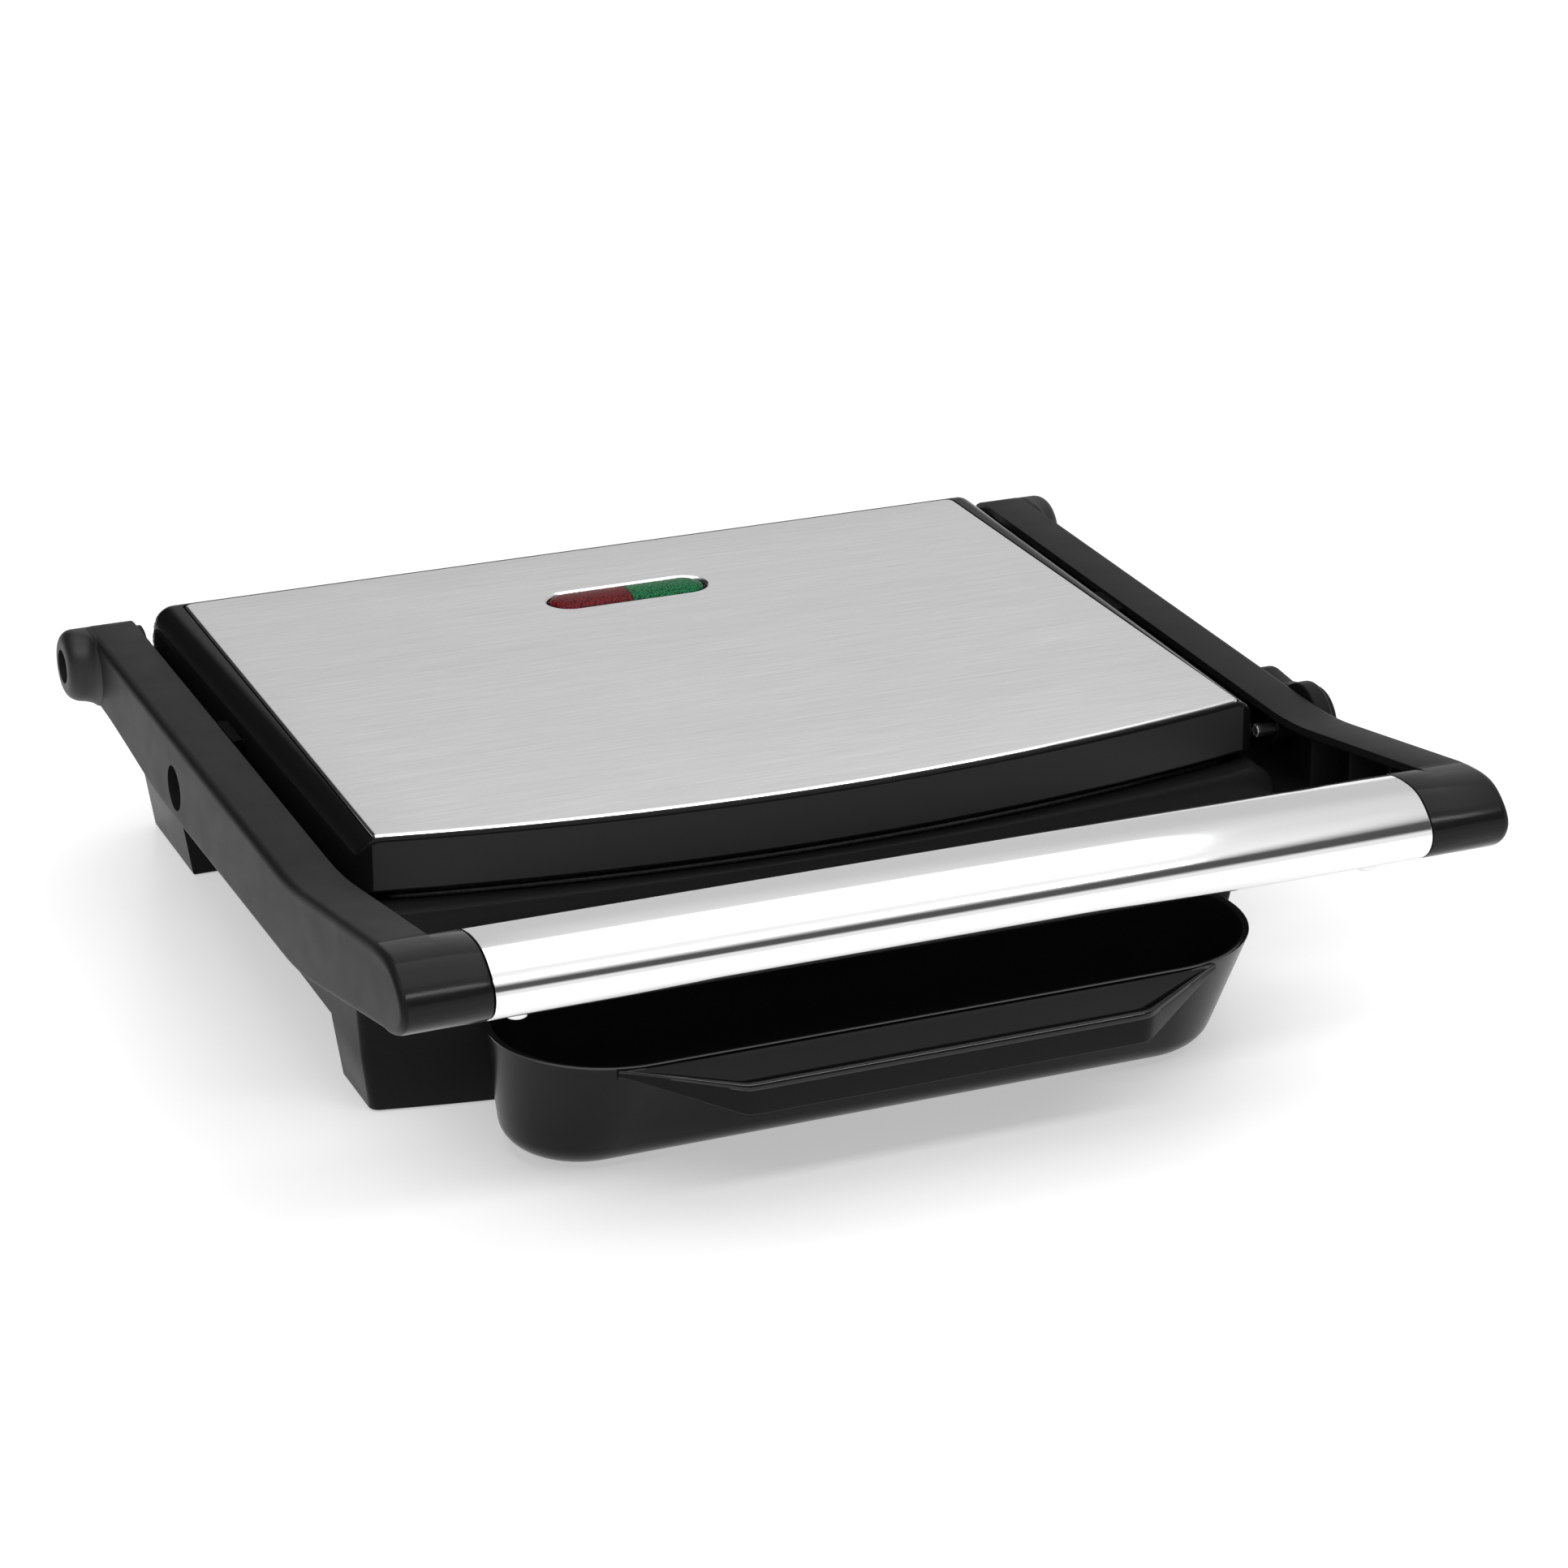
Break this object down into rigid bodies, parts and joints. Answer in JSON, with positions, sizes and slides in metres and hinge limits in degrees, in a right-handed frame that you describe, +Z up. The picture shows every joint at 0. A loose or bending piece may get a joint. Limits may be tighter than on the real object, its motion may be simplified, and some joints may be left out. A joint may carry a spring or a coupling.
{
  "type": "panini press",
  "caption": "Electric panini press with a floating lid hung in a U-shaped handle frame, a pull-out drip tray and a flip lock lever.",
  "frame": {"origin": "centre of the footprint's bounding box, on the plane of the rubber feet", "axes": "+Z up, -Y towards the user (handle side), +X to the user's right"},
  "size_m": [0.36, 0.3774, 0.1037],
  "materials": {
    "gloss_black": "moulded black plastic, polished",
    "matte_black": "moulded black plastic, fine grain",
    "tray_black": "moulded black plastic, satin",
    "brushed_stainless": "brushed across the width",
    "satin_aluminium": "polished and satin anodised",
    "plain_steel": "plain steel sheet",
    "bright_steel": "bright plated screws and pins",
    "bracket_black": "black painted steel",
    "non_stick": "die-cast, black non-stick coating",
    "element_tube": "heat-darkened heating tube",
    "rubber_black": "soft rubber",
    "red_lens": "translucent red lens",
    "green_lens": "translucent green lens",
    "natural_plastic": "uncoloured plastic"
  },
  "bodies": {
    "base": {"base_shell": "gloss_black", "foot_pad_front_left": "rubber_black", "foot_pad_front_right": "rubber_black", "foot_pad_rear_left": "rubber_black", "foot_pad_rear_right": "rubber_black", "base_screw_front_left": "bright_steel", "base_screw_front_right": "bright_steel", "base_screw_rear_left": "bright_steel", "base_screw_rear_right": "bright_steel", "lower_grill_plate": "non_stick", "lower_element": "element_tube", "lower_reflector": "plain_steel", "cord_gland": "matte_black", "rear_stop_left": "natural_plastic", "rear_stop_right": "natural_plastic", "hinge_bracket_left": "bracket_black", "hinge_bracket_right": "bracket_black", "hinge_pin_left": "bright_steel", "hinge_pin_right": "bright_steel"},
    "handle_frame": {"arm_left": "matte_black", "arm_right": "matte_black", "handle_sleeve": "satin_aluminium", "handle_screw_left": "bright_steel", "handle_screw_right": "bright_steel"},
    "lid": {"lid_shell": "gloss_black", "top_plate": "brushed_stainless", "lamp_lens_red": "red_lens", "lamp_lens_green": "green_lens", "lamp_holder": "natural_plastic", "upper_grill_plate": "non_stick", "upper_element": "element_tube", "upper_reflector": "plain_steel", "thermostat": "plain_steel", "pivot_bracket_left": "bracket_black", "pivot_bracket_right": "bracket_black", "pivot_screw_left": "bright_steel", "pivot_screw_right": "bright_steel"},
    "lock": {"lock_lever": "matte_black", "lock_shaft": "bright_steel"},
    "tray": {"drip_tray": "tray_black"}
  },
  "joints": [
    {"name": "arm_hinge", "type": "hinge", "parent": "base", "child": "handle_frame", "pos_m": [0, 0.1467, 0.077], "axis": [-1, 0, 0], "range_deg": [0, 100]},
    {"name": "lid_float", "type": "hinge", "parent": "handle_frame", "child": "lid", "pos_m": [0, 0.0424, 0.0716], "axis": [-1, 0, 0], "range_deg": [-1.3, 1.3]},
    {"name": "lock_turn", "type": "hinge", "parent": "handle_frame", "child": "lock", "pos_m": [0.175, -0.0576, 0.077], "axis": [1, 0, 0], "range_deg": [0, 90]},
    {"name": "tray_pull", "type": "slide", "parent": "base", "child": "tray", "axis": [0, -1, 0], "range_m": [0, 0.13]}
  ]
}
